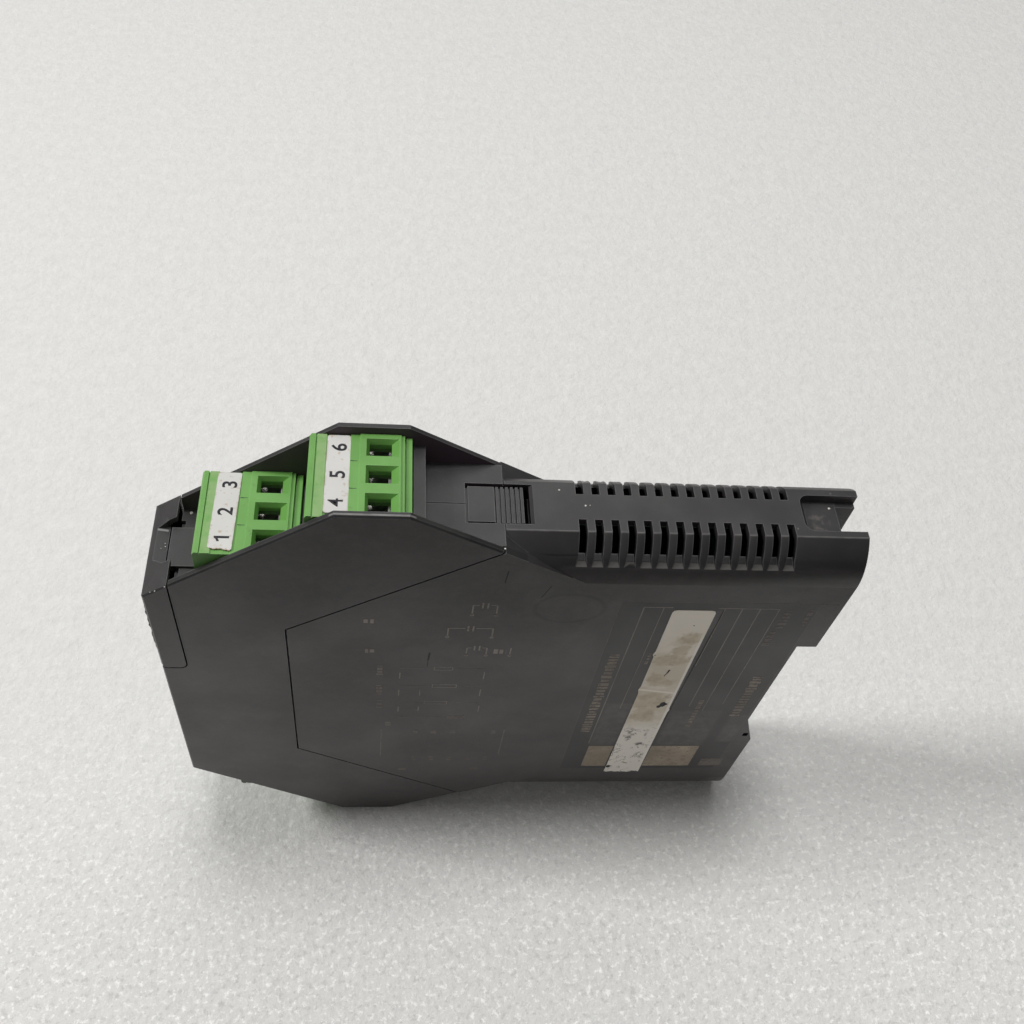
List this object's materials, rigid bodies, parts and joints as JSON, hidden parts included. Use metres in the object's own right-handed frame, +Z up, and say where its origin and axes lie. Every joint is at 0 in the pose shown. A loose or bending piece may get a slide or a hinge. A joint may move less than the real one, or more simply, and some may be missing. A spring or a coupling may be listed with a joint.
{
  "type": "signal transmitter",
  "caption": "Slim rail-mounted signal transmitter: octagonal black housing with stepped green pluggable screw terminals, vented rear body, hinged front flap and sprung rail foot.",
  "frame": {"origin": "centre of the bounding box's bottom, under the lower terminal flanges", "axes": "+X from the front face to the rail end, +Y across the module's width to the far side, +Z up"},
  "size_m": [0.112, 0.0176, 0.1094],
  "materials": {
    "housing_plastic": "fine matt moulded black",
    "flap_plastic": "fine matt moulded black",
    "foot_plastic": "matt moulded black",
    "terminal_green": "satin moulded green",
    "marker_white": "matt printed film",
    "flap_label_film": "matt film",
    "rating_film": "satin printed film",
    "sticker_paper": "aged paper",
    "board_laminate": "solder mask",
    "black_component": "moulded",
    "plated_steel": "zinc plated",
    "tinned_contact": "tinned",
    "ferrite": "sintered",
    "copper_winding": "enamelled wire",
    "capacitor_can": "sleeved can",
    "clear_plastic": "clear moulded"
  },
  "bodies": {
    "housing": {"front_housing": "housing_plastic", "rear_housing": "housing_plastic", "rating_label": "rating_film", "side_sticker": "sticker_paper", "foot_spring": "plated_steel", "light_pipe": "clear_plastic", "program_socket": "black_component", "main_board": "board_laminate", "power_board": "board_laminate", "board_link": "black_component", "controller_chip": "black_component", "isolator_1": "black_component", "isolator_2": "black_component", "transformer_core": "ferrite", "transformer_winding": "copper_winding", "capacitor_1": "capacitor_can", "capacitor_2": "capacitor_can", "power_led": "clear_plastic", "plug_body_1": "terminal_green", "marker_strip_1": "marker_white", "wire_clamps_1": "plated_steel", "pin_header_1": "black_component", "contact_pins_1": "tinned_contact", "plug_body_2": "terminal_green", "marker_strip_2": "marker_white", "wire_clamps_2": "plated_steel", "pin_header_2": "black_component", "contact_pins_2": "tinned_contact", "plug_body_3": "terminal_green", "marker_strip_3": "marker_white", "wire_clamps_3": "plated_steel", "pin_header_3": "black_component", "contact_pins_3": "tinned_contact", "plug_body_4": "terminal_green", "marker_strip_4": "marker_white", "wire_clamps_4": "plated_steel", "pin_header_4": "black_component", "contact_pins_4": "tinned_contact", "clamp_screw_1": "plated_steel", "clamp_screw_2": "plated_steel", "clamp_screw_3": "plated_steel", "clamp_screw_4": "plated_steel", "clamp_screw_5": "plated_steel", "clamp_screw_6": "plated_steel", "clamp_screw_7": "plated_steel", "clamp_screw_8": "plated_steel", "clamp_screw_9": "plated_steel", "clamp_screw_10": "plated_steel", "clamp_screw_11": "plated_steel", "clamp_screw_12": "plated_steel"},
    "flap": {"front_flap": "flap_plastic", "flap_label": "flap_label_film"},
    "foot": {"rail_foot": "foot_plastic"}
  },
  "joints": [
    {"name": "flap_hinge", "type": "hinge", "parent": "housing", "child": "flap", "pos_m": [-0.0548, 0, 0.0659], "axis": [0, -1, 0], "range_deg": [0, 95]},
    {"name": "rail_foot_slide", "type": "slide", "parent": "housing", "child": "foot", "axis": [0, 0, -1], "range_m": [0, 0.0035], "stiffness_N_per_m": 600, "springref_m": -0.002, "deforming": ["foot_spring"]}
  ]
}
